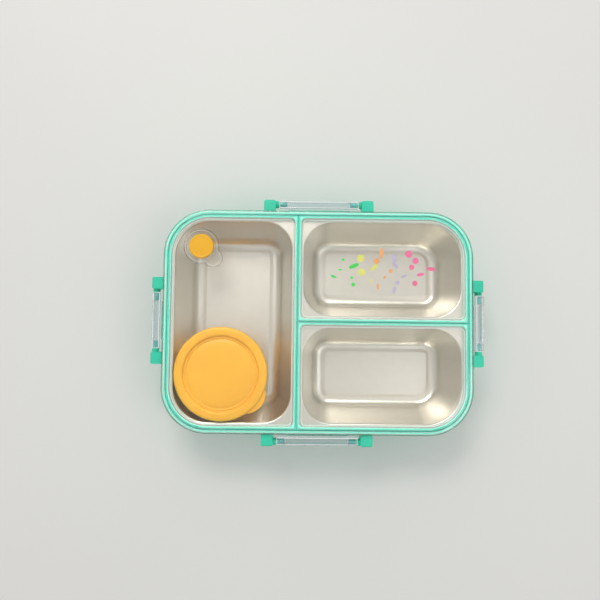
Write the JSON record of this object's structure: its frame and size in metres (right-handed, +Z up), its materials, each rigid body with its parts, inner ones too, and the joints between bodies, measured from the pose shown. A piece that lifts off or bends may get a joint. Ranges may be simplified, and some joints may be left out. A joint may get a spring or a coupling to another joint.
{
  "type": "bento lunch box",
  "caption": "Latching lunch box with a clear sealed lid, a divided steel tray in a moulded shell, a vent plug and a lidded sauce pot.",
  "frame": {"origin": "on the table under the middle of the box", "axes": "+X along the long side, +Z up out of the lid"},
  "size_m": [0.281, 0.2084, 0.06],
  "materials": {
    "shell_green": "satin moulded polypropylene",
    "tray_steel": "pressed stainless sheet, satin",
    "lid_clear": "clear moulded plastic",
    "seal_green": "satin silicone",
    "latch_clear": "clear moulded plastic",
    "pin_green": "moulded plastic",
    "plug_orange": "satin silicone",
    "pot_orange": "moulded polypropylene",
    "pot_lid_orange": "satin silicone"
  },
  "bodies": {
    "shell": {"outer_shell": "shell_green", "front_latch_pin_left": "pin_green", "front_latch_pin_right": "pin_green", "back_latch_pin_left": "pin_green", "back_latch_pin_right": "pin_green", "left_latch_pin_front": "pin_green", "left_latch_pin_back": "pin_green", "right_latch_pin_front": "pin_green", "right_latch_pin_back": "pin_green"},
    "tray": {"steel_tray": "tray_steel"},
    "pot": {"sauce_pot": "pot_orange"},
    "pot_lid": {"sauce_pot_lid": "pot_lid_orange"},
    "lid": {"lid_panel": "lid_clear", "lid_seal": "seal_green"},
    "vent": {"vent_plug": "plug_orange"},
    "latch_front": {"front_latch": "latch_clear"},
    "latch_back": {"back_latch": "latch_clear"},
    "latch_left": {"left_latch": "latch_clear"},
    "latch_right": {"right_latch": "latch_clear"}
  },
  "joints": [
    {"name": "front_latch_swing", "type": "hinge", "parent": "shell", "child": "latch_front", "pos_m": [0, -0.10045, 0.046], "axis": [1, 0, 0], "range_deg": [-6, 130]},
    {"name": "back_latch_swing", "type": "hinge", "parent": "shell", "child": "latch_back", "pos_m": [0, 0.10045, 0.046], "axis": [-1, 0, 0], "range_deg": [-6, 130]},
    {"name": "left_latch_swing", "type": "hinge", "parent": "shell", "child": "latch_left", "pos_m": [-0.1367, 0, 0.046], "axis": [0, -1, 0], "range_deg": [-6, 130]},
    {"name": "right_latch_swing", "type": "hinge", "parent": "shell", "child": "latch_right", "pos_m": [0.1367, 0, 0.046], "axis": [0, 1, 0], "range_deg": [-6, 130]},
    {"name": "tray_lift", "type": "slide", "parent": "shell", "child": "tray", "axis": [0, 0, 1], "range_m": [0, 0.06]},
    {"name": "pot_lift", "type": "slide", "parent": "tray", "child": "pot", "axis": [0, 0, 1], "range_m": [0, 0.055]},
    {"name": "pot_lid_lift", "type": "slide", "parent": "pot", "child": "pot_lid", "axis": [0, 0, 1], "range_m": [0, 0.03]},
    {"name": "lid_lift", "type": "slide", "parent": "pot_lid", "child": "lid", "axis": [0, 0, 1], "range_m": [0, 0.08]},
    {"name": "vent_pull", "type": "slide", "parent": "lid", "child": "vent", "axis": [0, 0, 1], "range_m": [0, 0.003]}
  ]
}
